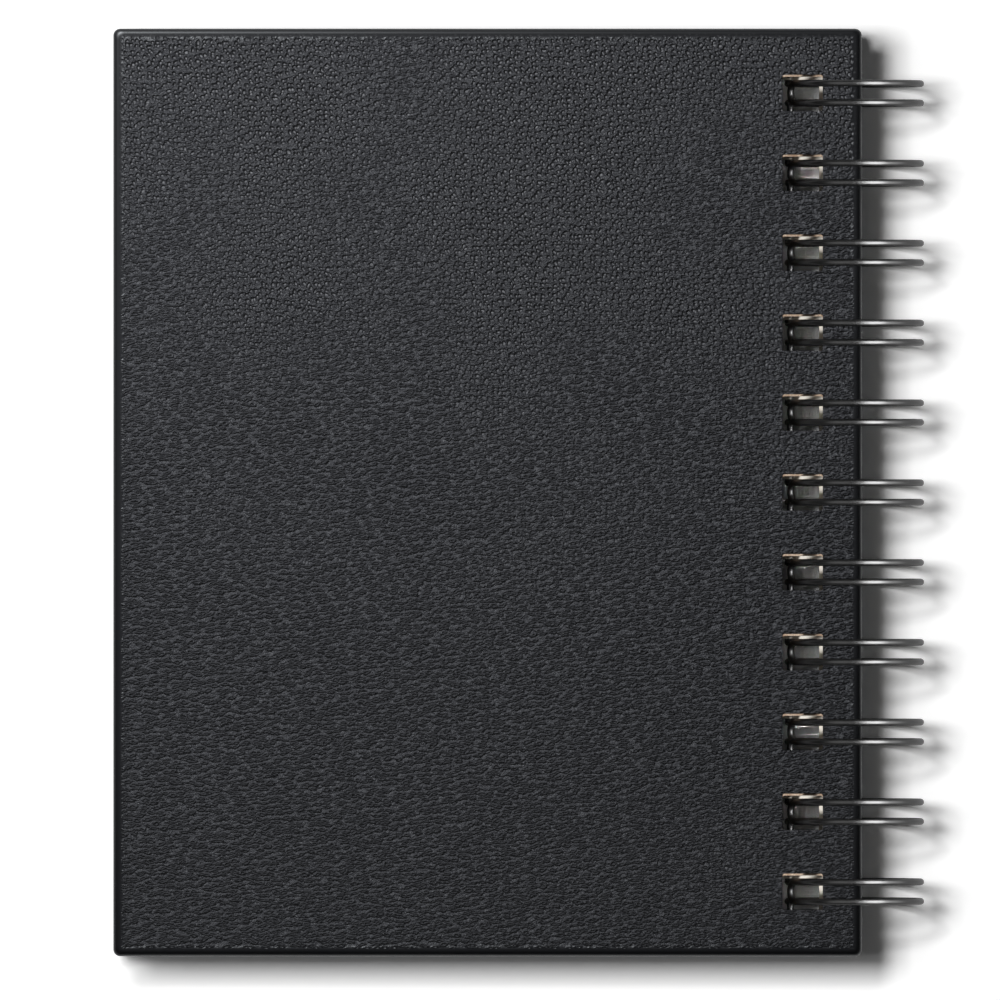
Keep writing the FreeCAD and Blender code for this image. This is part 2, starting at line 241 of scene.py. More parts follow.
@dataclass(frozen=True)
class PebbledLeatherette:
    """Thin black leatherette, embossed with fine pits that run out into creases. Its colour has painted
    highlight dots in the pits, painted shade in the grooves and a painted dark band along the outline.
    """

    # painted shade: the grooves' colour is darker than the crowns' to stand for shade in the creases
    groove_shade: Colour = (0.0370, 0.0381, 0.0431, 1.0)
    crown: Colour = (0.0470, 0.0484, 0.0548, 1.0)
    shine: Colour = (0.92, 0.96, 1.0, 1.0)
    ground: Colour = (0.0320, 0.0329, 0.0373, 1.0)
    # painted highlight: the bright dot in each pit stands for a glint
    dot: Colour = (0.1400, 0.1430, 0.1530, 1.0)
    # painted shade: a dark band along the cover's rounded outline
    painted_edge_shade: Colour = (0.0070, 0.0073, 0.0083, 1.0)
    pit: float = 0.86
    pit_scatter: float = 0.75
    pebble: float = 0.74
    pebble_scatter: float = 0.72
    stretch: Point2 = (0.48, 1.15)
    slant: float = -16.0
    side_slip: float = 0.7
    warp: float = 0.9
    warp_scale: float = 0.55
    region_scale: float = 0.03
    region_fall: float = -0.005
    region_end: float = 0.72
    rumple_scale: float = 1.6
    rumple_share: float = 0.80
    fine_scale: float = 3.6
    fine_share: float = 0.30
    mean_height: float = 0.85
    depth: float = 0.66
    roughness: float = 0.38
    gloss: float = 0.38
    plain_edge: Point2 = (2.6, 0.5)

    def cells(self, graph: Finish, where: NodeSocket, size: float, scatter: float) -> NodeSocket:
        """How far a point is from the middle of its cell, counted in cells.

        Args:
            graph: The material's graph.
            where: Coordinates in millimetres.
            size: From one cell to the next, in millimetres.
            scatter: How uneven the cells lie, up to 1.

        Returns:
            The distance's socket.
        """
        settings = {"feature": "F1", "voronoi_dimensions": "2D"}
        inputs = {"Vector": where, "Scale": 1.0 / size, "Randomness": scatter}
        return graph.add("ShaderNodeTexVoronoi", settings, inputs).outputs["Distance"]

    def pebbles(self, graph: Finish, where: NodeSocket) -> tuple[NodeSocket, NodeSocket]:
        """One lay of pebbles, each in a ring-shaped groove.

        Args:
            graph: The material's graph.
            where: Coordinates in millimetres.

        Returns:
            The height, and the share of ground and pebble tops against grooves, which keeps them out of the
            painted groove shade.
        """
        away = self.cells(graph, where, self.pebble, self.pebble_scatter)
        top = graph.spread(away, 0.02, 0.27, 1.25, 0.0)
        ground = graph.spread(away, 0.25, 0.58, 0.0, 0.60)
        height = graph.maths("ADD", top, ground)
        return height, graph.spread(height, 0.0, 0.55, 0.0, 1.0)

    def pits(self, graph: Finish, where: NodeSocket) -> tuple[NodeSocket, NodeSocket]:
        """One lay of round pits, each with a painted highlight dot in its middle.

        Args:
            graph: The material's graph.
            where: Coordinates in millimetres.

        Returns:
            The depth, and the share of the painted highlight dots.
        """
        away = self.cells(graph, where, self.pit, self.pit_scatter)
        return graph.spread(away, 0.10, 0.50, 0.95, 0.15), graph.spread(away, 0.08, 0.27, 1.0, 0.0)

    def edge_share(self, graph: Finish, parts: Node, around: Box) -> NodeSocket:
        """How near the cover's outline a point is, where the grain fades and a painted dark band lies.

        Args:
            graph: The material's graph.
            parts: The node that gives the coordinates in millimetres, one by one.
            around: The cover's box.

        Returns:
            0 on the open cover, up to 1 along its outline.
        """
        shares = []
        start, end = self.plain_edge
        for axis, name in enumerate("XY"):
            middle = (around.low[axis] + around.high[axis]) / 2.0
            reach = (around.high[axis] - around.low[axis]) / 2.0
            away = graph.maths("ABSOLUTE", graph.maths("SUBTRACT", parts.outputs[name], middle))
            shares.append(graph.spread(away, reach - start, reach - end, 0.0, 1.0))
        return graph.maths("MAXIMUM", *shares)

    def material(self, around: Box) -> Material:
        """Builds the finish.

        Args:
            around: The cover's box.

        Returns:
            The material.
        """
        graph = Finish("pebbled_leatherette")
        parts = graph.add("ShaderNodeSeparateXYZ", None, {0: graph.millimetres()})
        drop = graph.maths("MULTIPLY", parts.outputs["Z"], self.side_slip)
        laid = graph.vector(**{name: graph.maths("ADD", parts.outputs[name], drop) for name in "XY"})
        warp = graph.noise(laid, self.warp_scale, 2.0, 0.6, flat=True).outputs["Color"]
        shift = graph.vector_maths("SUBTRACT", {0: warp, 1: (0.5, 0.5, 0.5)})
        shift = graph.vector_maths("SCALE", {0: shift, "Scale": self.warp})
        upright = graph.vector_maths("ADD", {0: laid, 1: shift})
        mapping = {
            "Vector": upright,
            "Rotation": (0.0, 0.0, math.radians(self.slant)),
            "Scale": (*self.stretch, 1.0),
        }
        turned = graph.add("ShaderNodeMapping", None, mapping).outputs[0]
        region = graph.noise(laid, self.region_scale, 2.0, flat=True)
        slope = graph.maths("MULTIPLY_ADD", parts.outputs["Y"], self.region_fall, region.outputs["Fac"])
        share = graph.spread(slope, 0.0, self.region_end, 0.0, 1.0)
        round_lay, painted_glint_share = self.pits(graph, upright)
        long_lay, tops = self.pebbles(graph, turned)
        lays = {0: share, 2: round_lay, 3: long_lay}
        height = graph.add("ShaderNodeMix", {"data_type": "FLOAT"}, lays).outputs[0]
        # the pits' colour, with painted highlight dots in their middles
        pits_with_painted_glints = graph.blend(painted_glint_share, self.ground, self.dot)
        # painted shade in the grooves, lighter on the crowns
        creases_with_painted_shade = graph.blend(tops, self.groove_shade, self.crown)
        rumple = graph.noise(turned, self.rumple_scale, 2.0, 0.6, flat=True)
        fine = graph.noise(laid, self.fine_scale, 2.0, 0.6, flat=True)
        rumpled = graph.maths("MULTIPLY", rumple.outputs["Fac"], graph.spread(share, 0.0, 1.0, 0.70, 1.0))
        height = graph.maths("MULTIPLY_ADD", rumpled, self.rumple_share, height)
        height = graph.maths("MULTIPLY_ADD", fine.outputs["Fac"], self.fine_share, height)
        edge = self.edge_share(graph, parts, around)
        height = graph.maths("SUBTRACT", height, self.mean_height)
        height = graph.maths("MULTIPLY", height, graph.spread(edge, 0.0, 0.8, 1.0, 0.0))
        inputs = {
            # base colour with painted highlight dots, painted groove shade and a painted dark edge band
            "Base Color": graph.blend(edge, graph.blend(share, pits_with_painted_glints, creases_with_painted_shade), self.painted_edge_shade),
            "Roughness": self.roughness,
            "Specular IOR Level": self.gloss,
            "Specular Tint": self.shine,
        }
        return graph.coat(height, self.depth, inputs, inward=True)


@dataclass(frozen=True)
class PressedBoard:
    """Grey board as its punched edges show it: layers of pale fibre."""

    pale: Colour = (0.68, 0.55, 0.43, 1.0)
    brown: Colour = (0.36, 0.24, 0.16, 1.0)
    layer: float = 0.22
    depth: float = 0.08
    roughness: float = 0.9

    def material(self) -> Material:
        """Builds the finish.

        Returns:
            The material.
        """
        graph = Finish("pressed_board")
        fibre = graph.noise(graph.millimetres((0.9, 0.9, 1.0 / self.layer)), 1.0, 4.0, 0.65).outputs["Fac"]
        flecks = graph.noise(graph.millimetres(), 3.5, 3.0).outputs["Fac"]
        share = graph.spread(graph.maths("MULTIPLY", fibre, flecks), 0.12, 0.42, 0.0, 1.0)
        colour = graph.blend(share, self.brown, self.pale)
        return graph.coat(fibre, self.depth, {"Base Color": colour, "Roughness": self.roughness})


@dataclass(frozen=True)
class LiningPaper:
    """Matt black paper with a fine tooth."""

    tone: Colour = (0.016, 0.016, 0.017, 1.0)
    fibre_tone: Colour = (0.030, 0.030, 0.032, 1.0)
    tooth: float = 0.35
    depth: float = 0.03
    roughness: float = 0.82

    def material(self) -> Material:
        """Builds the finish.

        Returns:
            The material.
        """
        graph = Finish("lining_paper")
        tooth = graph.noise(graph.millimetres(), 1.0 / self.tooth, 4.0).outputs["Fac"]
        streaks = graph.noise(graph.millimetres((0.6, 6.0, 6.0), 12.0), 0.8, 3.0).outputs["Fac"]
        colour = graph.blend(graph.spread(streaks, 0.45, 0.75, 0.0, 1.0), self.tone, self.fibre_tone)
        return graph.coat(tooth, self.depth, {"Base Color": colour, "Roughness": self.roughness})


@dataclass(frozen=True)
class RuledPaper:
    """Off-white writing paper with pale rules, which reach its edges."""

    tone: Colour = (0.84, 0.80, 0.72, 1.0)
    shade: Colour = (0.74, 0.69, 0.60, 1.0)
    rule: Colour = (0.46, 0.50, 0.58, 1.0)
    rule_pitch: float = 6.35
    rule_width: float = 0.2
    head: float = 56.0
    depth: float = 0.012
    roughness: float = 0.85

    def material(self) -> Material:
        """Builds the finish.

        Returns:
            The material.
        """
        graph = Finish("ruled_paper")
        where = graph.millimetres()
        along = graph.add("ShaderNodeSeparateXYZ", None, {0: where}).outputs["Y"]
        step = graph.maths("FRACT", graph.maths("DIVIDE", along, self.rule_pitch))
        near = graph.maths("ABSOLUTE", graph.maths("SUBTRACT", step, 0.5))
        line = graph.maths("LESS_THAN", near, self.rule_width / 2 / self.rule_pitch)
        line = graph.maths("MULTIPLY", line, graph.maths("LESS_THAN", along, self.head))
        cloud = graph.noise(where, 1.8, 5.0, 0.7).outputs["Fac"]
        paper = graph.blend(graph.spread(cloud, 0.3, 0.7, 0.0, 0.5), self.tone, self.shade)
        inputs = {"Base Color": graph.blend(line, paper, self.rule), "Roughness": self.roughness}
        return graph.coat(cloud, self.depth, inputs)


@dataclass(frozen=True)
class CoatedWire:
    """Black nylon-coated steel wire, smooth and glossy. Its rims reflect less than its middle."""

    deep: Colour = (0.0035, 0.0035, 0.0040, 1.0)
    thin: Colour = (0.0090, 0.0090, 0.0100, 1.0)
    roughness: float = 0.28
    scuffed: float = 0.38
    gloss: float = 0.50
    rim_gloss: float = 0.06
    depth: float = 0.012

    def material(self) -> Material:
        """Builds the finish.

        Returns:
            The material.
        """
        graph = Finish("coated_wire")
        where = graph.millimetres()
        peel = graph.noise(where, 2.2, 2.0).outputs["Fac"]
        scuff = graph.noise(where, 7.0, 4.0, 0.7).outputs["Fac"]
        turned_away = graph.add("ShaderNodeLayerWeight", None, {"Blend": 0.5}).outputs["Facing"]
        inputs = {
            "Base Color": graph.blend(peel, self.deep, self.thin),
            "Roughness": graph.spread(scuff, 0.35, 0.75, self.roughness, self.scuffed),
            "Specular IOR Level": graph.spread(turned_away, 0.30, 0.85, self.gloss, self.rim_gloss),
        }
        return graph.coat(peel, self.depth, inputs)


@dataclass(frozen=True)
class StudioPaper:
    """The white floor, clear from below.

    Seen directly or in a reflection it is a little lighter, and white far from the notebook.
    """

    tone: float = 0.82
    seen_tone: float = 1.14
    far_from: float = 0.20
    far_to: float = 0.50

    def material(self) -> Material:
        """Builds the finish.

        Returns:
            The material.
        """
        graph = Finish("studio_paper")
        seen = graph.seen_rays()
        colour = graph.blend(seen, grey(self.tone), grey(self.seen_tone))
        paper = graph.add("ShaderNodeBsdfDiffuse", None, {"Color": colour}).outputs[0]
        place = graph.add("ShaderNodeTexCoord").outputs["Object"]
        away = graph.add("ShaderNodeVectorMath", {"operation": "LENGTH"}, {0: place}).outputs["Value"]
        far = graph.maths("MULTIPLY", seen, graph.spread(away, self.far_from, self.far_to, 0.0, 1.0))
        white = graph.add("ShaderNodeEmission", None, {"Color": grey(1.0), "Strength": 1.0}).outputs[0]
        above = graph.add("ShaderNodeMixShader", None, {0: far, 1: paper, 2: white}).outputs[0]
        from_below = graph.add("ShaderNodeNewGeometry").outputs["Backfacing"]
        clear = graph.add("ShaderNodeBsdfTransparent").outputs[0]
        return graph.close(graph.add("ShaderNodeMixShader", None, {0: from_below, 1: above, 2: clear}))


def rounded_rectangle(low: Point2, high: Point2, radius: float, level: float, steps: int = 6) -> Ring:
    """The corners of a rounded rectangle parallel to the floor, anticlockwise from above.

    Args:
        low: Its lowest X and Y.
        high: Its highest X and Y.
        radius: The radius of its corners.
        level: Its height.
        steps: Chords in a corner.

    Returns:
        Its points in millimetres.
    """
    centres = (
        (low[0] + radius, low[1] + radius, 180.0),
        (high[0] - radius, low[1] + radius, 270.0),
        (high[0] - radius, high[1] - radius, 0.0),
        (low[0] + radius, high[1] - radius, 90.0),
    )
    ring = []
    for x, y, start in centres:
        for step in range(steps + 1):
            angle = math.radians(start + 90.0 * step / steps)
            ring.append(Vector((x + radius * math.cos(angle), y + radius * math.sin(angle), level)))
    return ring


def loft(mesh: BMesh, rings: list[Ring]) -> list[list[BMVert]]:
    """Adds closed rings of points, in metres, and joins each to the next with faces.

    Args:
        mesh: The mesh that takes them.
        rings: Rings with the same number of points, in millimetres.

    Returns:
        Each ring's vertices.
    """
    placed = [[mesh.verts.new(point * MM) for point in ring] for ring in rings]
    for lower, upper in zip(placed, placed[1:]):
        for i, start in enumerate(lower):
            following = (i + 1) % len(lower)
            mesh.faces.new((start, lower[following], upper[following], upper[i]))
    return placed


def fill(mesh: BMesh, rings: list[list[BMVert]]) -> None:
    """Fills the flat face between an outline and the openings in it.

    Args:
        mesh: The mesh that holds them.
        rings: The outline first, then its openings.
    """
    edges = []
    for ring in rings:
        for i, start in enumerate(ring):
            pair = (start, ring[(i + 1) % len(ring)])
            edges.append(mesh.edges.get(pair) or mesh.edges.new(pair))
    bmesh.ops.triangle_fill(mesh, use_beauty=True, edges=edges, normal=Vector((0.0, 0.0, 1.0)))


def in_scene(name: str, data: bpy.types.ID) -> Object:
    """Makes an object of some data and links it to the scene.

    Args:
        name: The object's name.
        data: Its mesh, curve, lamp or camera.

    Returns:
        The object.
    """
    made = bpy.data.objects.new(name, data)
    bpy.context.scene.collection.objects.link(made)
    return made


def to_object(mesh: BMesh, name: str) -> Object:
    """Turns a mesh to an object in the scene.

    Args:
        mesh: The mesh, which is freed.
        name: The name of the object and its data.

    Returns:
        The object.
    """
    data = bpy.data.meshes.new(name)
    mesh.to_mesh(data)
    mesh.free()
    return in_scene(name, data)


def finish_mesh(mesh: BMesh, name: str, finish: Material, smooth_under: float = 40.0) -> Object:
    """Turns a finished mesh to an object with its faces outwards.

    Args:
        mesh: The mesh, which is freed.
        name: The object's name.
        finish: Its material.
        smooth_under: Edges flatter than this many degrees are shaded smooth.

    Returns:
        The object.
    """
    bmesh.ops.remove_doubles(mesh, verts=mesh.verts, dist=WELD_UNDER)
    bmesh.ops.recalc_face_normals(mesh, faces=mesh.faces)
    for face in mesh.faces:
        face.smooth = True
    for edge in mesh.edges:
        if len(edge.link_faces) == 2:
            edge.smooth = edge.calc_face_angle(0.0) < math.radians(smooth_under)
    made = to_object(mesh, name)
    made.data.materials.append(finish)
    return made


def apply_modifiers(made: Object) -> None:
    """Puts what an object's modifiers make in place of its mesh.

    Args:
        made: The object, which keeps its mesh's name.
    """
    result = bpy.data.meshes.new_from_object(made.evaluated_get(bpy.context.evaluated_depsgraph_get()))
    made.modifiers.clear()
    old, name = made.data, made.data.name
    made.data = result
    bpy.data.meshes.remove(old)
    result.name = name


def cut_away(target: Object, cutters: list[Object]) -> None:
    """Takes cutters away from an object's mesh and removes them.

    Args:
        target: The object that is cut.
        cutters: Closed meshes.
    """
    for cutter in cutters:
        difference = target.modifiers.new("cut", "BOOLEAN")
        difference.operation = "DIFFERENCE"
        difference.solver = "EXACT"
        difference.object = cutter
    apply_modifiers(target)
    for cutter in cutters:
        bpy.data.objects.remove(cutter)


@dataclass(frozen=True)
class Punching:
    """The row of holes, in millimetres from the cover's spine edge and the row's middle."""

    spine_edge: float
    edge_distance: float = 6.2
    length: float = 6.414
    width: float = 5.8
    pitch: float = 12.7
    count: int = 11
    corner: float = 0.35
    slip: Point2 = (0.0, 0.0)

    def outline(self, index: int, level: float, grow: float = 0.0, steps: int = 4) -> Ring:
        """One hole's outline.

        Args:
            index: Its number from the tail.
            level: The outline's height.
            grow: How far it lies outside the hole's wall.
            steps: Chords in a corner.

        Returns:
            The outline's points.
        """
        right = self.spine_edge - self.edge_distance + self.slip[0]
        middle = (index - (self.count - 1) / 2) * self.pitch + self.slip[1]
        low = (right - self.length - grow, middle - self.width / 2 - grow)
        high = (right + grow, middle + self.width / 2 + grow)
        return rounded_rectangle(low, high, self.corner + grow, level, steps)


@dataclass
class Cover:
    """One cover: a board, the leatherette wrapped round it and its lining."""

    side: Side
    wrap_thickness: float = 0.3
    edge_radius: float = 0.85
    corner_radius: float = 1.1
    turn_in: float = 15.0
    mitre: float = 0.25
    window_corner: float = 0.2
    rim_radius: float = 0.16
    rim_steps: int = 3
    edge_steps: int = 7
    support: float = 0.12
    least_corner: float = 0.1
    board_slip: Point2 = (0.0, -0.3)
    box: Box = field(init=False)
    punching: Punching = field(init=False)

    def __post_init__(self) -> None:
        """Reads the cover's place from the frame."""
        self.box = Box.of(f"{self.side.value}_cover_wrap")
        self.punching = Punching(spine_edge=self.box.high.x)

    @property
    def body(self) -> str:
        """The body it rides on."""
        return f"{self.side.value}_cover"

    def level(self, depth: float) -> float:
        """The height of a level, from its depth under the outer face."""
        return self.box.high.z - depth if self.side is Side.BACK else self.box.low.z + depth

    @property
    def thickness(self) -> float:
        """From the outer face to the face of the turn-ins."""
        return self.box.high.z - self.box.low.z

    def outline(self, inset: float, depth: float, radius: float) -> Ring:
        """A rounded rectangle inside the cover's edges.

        Args:
            inset: How far inside the edges.
            depth: Its depth under the outer face.
            radius: The radius of its corners.

        Returns:
            Its points.
        """
        low = (self.box.low.x + inset, self.box.low.y + inset)
        high = (self.box.high.x - inset, self.box.high.y - inset)
        return rounded_rectangle(low, high, radius, self.level(depth))

    def edge_rings(
        self, inset: float, radius: float, corner: float, top: float, bottom: float
    ) -> list[Ring]:
        """Rings down a rounded edge.

        Args:
            inset: How far inside the cover's edges the edge stands.
            radius: The rounding between face and edge.
            corner: The radius of its corners, seen from above.
            top: The depth of the face it starts from.
            bottom: The depth of the face it ends at.

        Returns:
            The rings from the first face to the last.
        """
        face_inset = inset + radius + self.support
        face_corner = max(corner - self.support / 2, self.least_corner)
        rings = [self.outline(face_inset, top, face_corner)]
        for depth, sign in ((top + radius, -1.0), (bottom - radius, 1.0)):
            for step in range(self.edge_steps + 1):
                angle = math.pi / 2 * step / self.edge_steps
                if sign > 0:
                    angle = math.pi / 2 - angle
                inward = radius * (1.0 - math.sin(angle))
                ring_depth = depth + sign * radius * math.cos(angle)
                rings.append(self.outline(inset + inward, ring_depth, corner))
        rings.append(self.outline(face_inset, bottom, face_corner))
        return rings

    def hole_rings(self, index: int, face: float, foot: float) -> list[Ring]:
        """Rings from a face down a punched hole's pressed rim to the foot of its wall.

        Args:
            index: The hole's number.
            face: The depth of the face.
            foot: The depth where the wall ends.

        Returns:
            The rings from the face to the foot.
        """
        inward = 1.0 if foot > face else -1.0
        rings = [self.punching.outline(index, self.level(face), self.rim_radius + self.support)]
        for step in range(self.rim_steps + 1):
            angle = math.pi / 2 * step / self.rim_steps
            grow = self.rim_radius * (1.0 - math.sin(angle))
            depth = face + inward * self.rim_radius * (1.0 - math.cos(angle))
            rings.append(self.punching.outline(index, self.level(depth), grow))
        rings.append(self.punching.outline(index, self.level(foot)))
        return rings

    def board_rings(self) -> list[Ring]:
        """Rings round the board.

        Returns:
            The rings from its outer face to its inner one.
        """
        sheet = self.wrap_thickness
        foot = self.thickness - sheet
        return self.edge_rings(sheet, self.edge_radius - sheet, self.corner_radius - sheet, sheet, foot)

    def make_wrap(self, finish: Material) -> Object:
        """The leatherette: one skin round the board, turned in and mitred.

        Args:
            finish: Its material.

        Returns:
            The object.
        """
        mesh = bmesh.new()
        last, foot = self.thickness, self.thickness - self.wrap_thickness
        outer = loft(mesh, self.edge_rings(0.0, self.edge_radius, self.corner_radius, 0.0, last))
        inner = loft(mesh, self.board_rings())
        window_rings = [self.outline(self.turn_in, depth, self.window_corner) for depth in (last, foot)]
        window = loft(mesh, window_rings)
        count = self.punching.count
        top_holes = [loft(mesh, self.hole_rings(i, 0.0, self.wrap_thickness)) for i in range(count)]
        low_holes = [loft(mesh, self.hole_rings(i, last, foot)) for i in range(count)]
        fill(mesh, [outer[0]] + [rings[0] for rings in top_holes])
        fill(mesh, [inner[0]] + [rings[-1] for rings in top_holes])
        fill(mesh, [outer[-1], window[0]] + [rings[0] for rings in low_holes])
        fill(mesh, [inner[-1], window[1]] + [rings[-1] for rings in low_holes])
        wrap = finish_mesh(mesh, f"{self.side.value}_cover_leatherette", finish)
        cut_away(wrap, self.mitre_cutters())
        return wrap

    def mitre_cutters(self) -> list[Object]:
        """Thin boxes that part the turn-ins at the corners.

        Returns:
            The four boxes.
        """
        cutters = []
        start, end = self.turn_in + self.mitre, 2 * self.edge_radius
        middle, length = (start + end) / 2, (start - end) * math.sqrt(2)
        for sx, sy in ((-1, -1), (1, -1), (1, 1), (-1, 1)):
            corner_x = self.box.high.x if sx > 0 else self.box.low.x
            corner_y = self.box.high.y if sy > 0 else self.box.low.y
            mesh = bmesh.new()
            size = Matrix.Diagonal((length * MM, self.mitre * MM, 2 * self.wrap_thickness * MM, 1.0))
            turn = Matrix.Rotation(math.atan2(sy, sx), 4, "Z")
            place = Vector((corner_x - sx * middle, corner_y - sy * middle, self.level(self.thickness)))
            bmesh.ops.create_cube(mesh, size=1.0, matrix=Matrix.Translation(place * MM) @ turn @ size)
            cutters.append(to_object(mesh, "mitre_cutter"))
        return cutters

    def make_board(self, finish: Material) -> Object:
        """The board inside the wrap, punched with the same holes.

        Args:
            finish: Its material.

        Returns:
            The object.
        """
        mesh = bmesh.new()
        rings = loft(mesh, self.board_rings())
        levels = (self.level(self.wrap_thickness), self.level(self.thickness - self.wrap_thickness))
        punching = replace(self.punching, slip=self.board_slip)
        walls = [[punching.outline(i, level) for level in levels] for i in range(punching.count)]
        holes = [loft(mesh, wall) for wall in walls]
        fill(mesh, [rings[0]] + [hole[0] for hole in holes])
        fill(mesh, [rings[-1]] + [hole[1] for hole in holes])
        return finish_mesh(mesh, f"{self.side.value}_cover_greyboard", finish)

    def dress(self, leatherette: Material, board: Material, lining: Material) -> Object:
        """Makes the cover's pieces and puts them on its body.

        Args:
            leatherette: The wrap's material.
            board: The board's material.
            lining: The lining's material.

        Returns:
            The wrap.
        """
        wrap = self.make_wrap(leatherette)
        for made, part, slot in (
            (wrap, "wrap", Slot.LEATHERETTE),
            (self.make_board(board), "board", Slot.GREYBOARD),
        ):
            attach(made, self.body)
            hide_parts(f"{self.side.value}_cover_{part}")
            log.info("%s: %d faces", made.name, len(made.data.polygons))
        paper_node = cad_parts[f"{self.side.value}_cover_lining"]
        paper_node.data.materials.clear()
        paper_node.data.materials.append(lining)
        log.info("%s keeps its CAD shape", paper_node.name)
        return wrap


class TreeMaker(Graph):
    """A Geometry Nodes tree with named inputs."""

    def __init__(self, name: str) -> None:
        """Makes the tree with its output socket and its input node.

        Args:
            name: The tree's name.
        """
        tree = bpy.data.node_groups.new(name, "GeometryNodeTree")
        super().__init__(tree)
        tree.interface.new_socket("Geometry", in_out="OUTPUT", socket_type="NodeSocketGeometry")
        self.entry = tree.nodes.new("NodeGroupInput")
        self.identifiers: dict[str, str] = {}

    def take(self, **kinds: str) -> list[NodeSocket]:
        """Adds named inputs.

        Args:
            kinds: Each input's socket type, by its name.

        Returns:
            The sockets that give them inside the tree.
        """
        for name, kind in kinds.items():
            made = self.tree.interface.new_socket(name, in_out="INPUT", socket_type=f"NodeSocket{kind}")
            self.identifiers[name] = made.identifier
        return [self.entry.outputs[name] for name in kinds]

    def shape(self, kind: str, inputs: dict, settings: dict | None = None) -> NodeSocket:
        """Adds a geometry node of that kind and gives its first output."""
        return self.add(f"GeometryNode{kind}", settings, inputs).outputs[0]

    def close(self, geometry: NodeSocket, finish: NodeSocket) -> None:
        """Ends the tree with real geometry in one finish.

        Args:
            geometry: What has been made.
            finish: The material's socket.
        """
        real = self.shape("RealizeInstances", {"Geometry": geometry})
        coated = self.shape("SetMaterial", {"Geometry": real, "Material": finish})
        self.add("NodeGroupOutput", None, {"Geometry": coated})

    def grow(self, name: str, values: dict[str, object]) -> Object:
        """Runs the tree and keeps what it makes as a plain mesh.

        Args:
            name: The new object's name.
            values: A value for each named input.

        Returns:
            The object.
        """
        made = in_scene(name, bpy.data.meshes.new(name))
        modifier = made.modifiers.new("grow", "NODES")
        modifier.node_group = self.tree
        for label, given in values.items():
            modifier[self.identifiers[label]] = given
        apply_modifiers(made)
        return made


@dataclass
class PageStack:
    """The loose punched sheets between the covers."""

    sheet_count: int = 54
    sheet_thickness: float = 0.1
    stray: float = 0.06
    corner: float = 0.3
    seed: int = 7
    hang: Point2 = (-0.5, -0.72)
    box: Box = field(init=False)
    punching: Punching = field(init=False)

    def __post_init__(self) -> None:
        """Reads the stack's place from the frame."""
        self.box = Box.of("page_block")
        self.punching = Punching(spine_edge=Box.of("back_cover_wrap").high.x, slip=self.hang)

    def make_sheet(self) -> Object:
        """The lowest sheet, punched.

        Returns:
            An object that is only a pattern for the stack.
        """
        mesh = bmesh.new()
        low = (self.box.low.x + self.stray, self.box.low.y + self.stray)
        high = (self.box.high.x - self.stray, self.box.high.y - self.stray)
        levels = (self.box.low.z, self.box.low.z + self.sheet_thickness)
        outline = loft(mesh, [rounded_rectangle(low, high, self.corner, level, 2) for level in levels])
        holes = [
            loft(mesh, [self.punching.outline(i, level, 0.0, 2) for level in levels])
            for i in range(self.punching.count)
        ]
        for level in (0, 1):
            fill(mesh, [outline[level]] + [hole[level] for hole in holes])
        bmesh.ops.recalc_face_normals(mesh, faces=mesh.faces)
        return to_object(mesh, "sheet_pattern")

    def tree(self) -> TreeMaker:
        """The tree that lays the sheets on each other.

        Returns:
            The tree, with its inputs named.
        """
        maker = TreeMaker("stack_of_sheets")
        pattern, count, rise, stray, seed, finish = maker.take(
            Sheet="Object", Sheets="Int", Rise="Float", Stray="Float", Seed="Int", Paper="Material"
        )
        sheet = maker.add("GeometryNodeObjectInfo", None, {"Object": pattern}).outputs["Geometry"]
        line = maker.shape("MeshLine", {"Count": count, "Offset": maker.vector(Z=rise)})
        back = maker.maths("MULTIPLY", stray, -1.0)
        inputs = {0: maker.vector(X=back, Y=back), 1: maker.vector(X=stray, Y=stray), "Seed": seed}
        random = maker.add("FunctionNodeRandomValue", {"data_type": "FLOAT_VECTOR"}, inputs)
        laid = maker.shape("SetPosition", {"Geometry": line, "Offset": random.outputs[0]})
        stack = maker.shape("InstanceOnPoints", {"Points": laid, "Instance": sheet})
        maker.close(stack, finish)
        return maker

    def dress(self, paper: Material) -> None:
        """Makes the stack and puts it on the pages' body.

        Args:
            paper: Its material.
        """
        pattern = self.make_sheet()
        room = self.box.high.z - self.box.low.z - self.sheet_thickness
        values = {
            "Sheet": pattern,
            "Sheets": self.sheet_count,
            "Rise": room / (self.sheet_count - 1) * MM,
            "Stray": self.stray * MM,
            "Seed": self.seed,
            "Paper": paper,
        }
        stack = self.tree().grow("punched_sheets", values)
        bpy.data.objects.remove(pattern)
        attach(stack, "pages")
        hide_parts("page_block")
        log.info("punched_sheets: %d sheets, %d faces", self.sheet_count, len(stack.data.polygons))


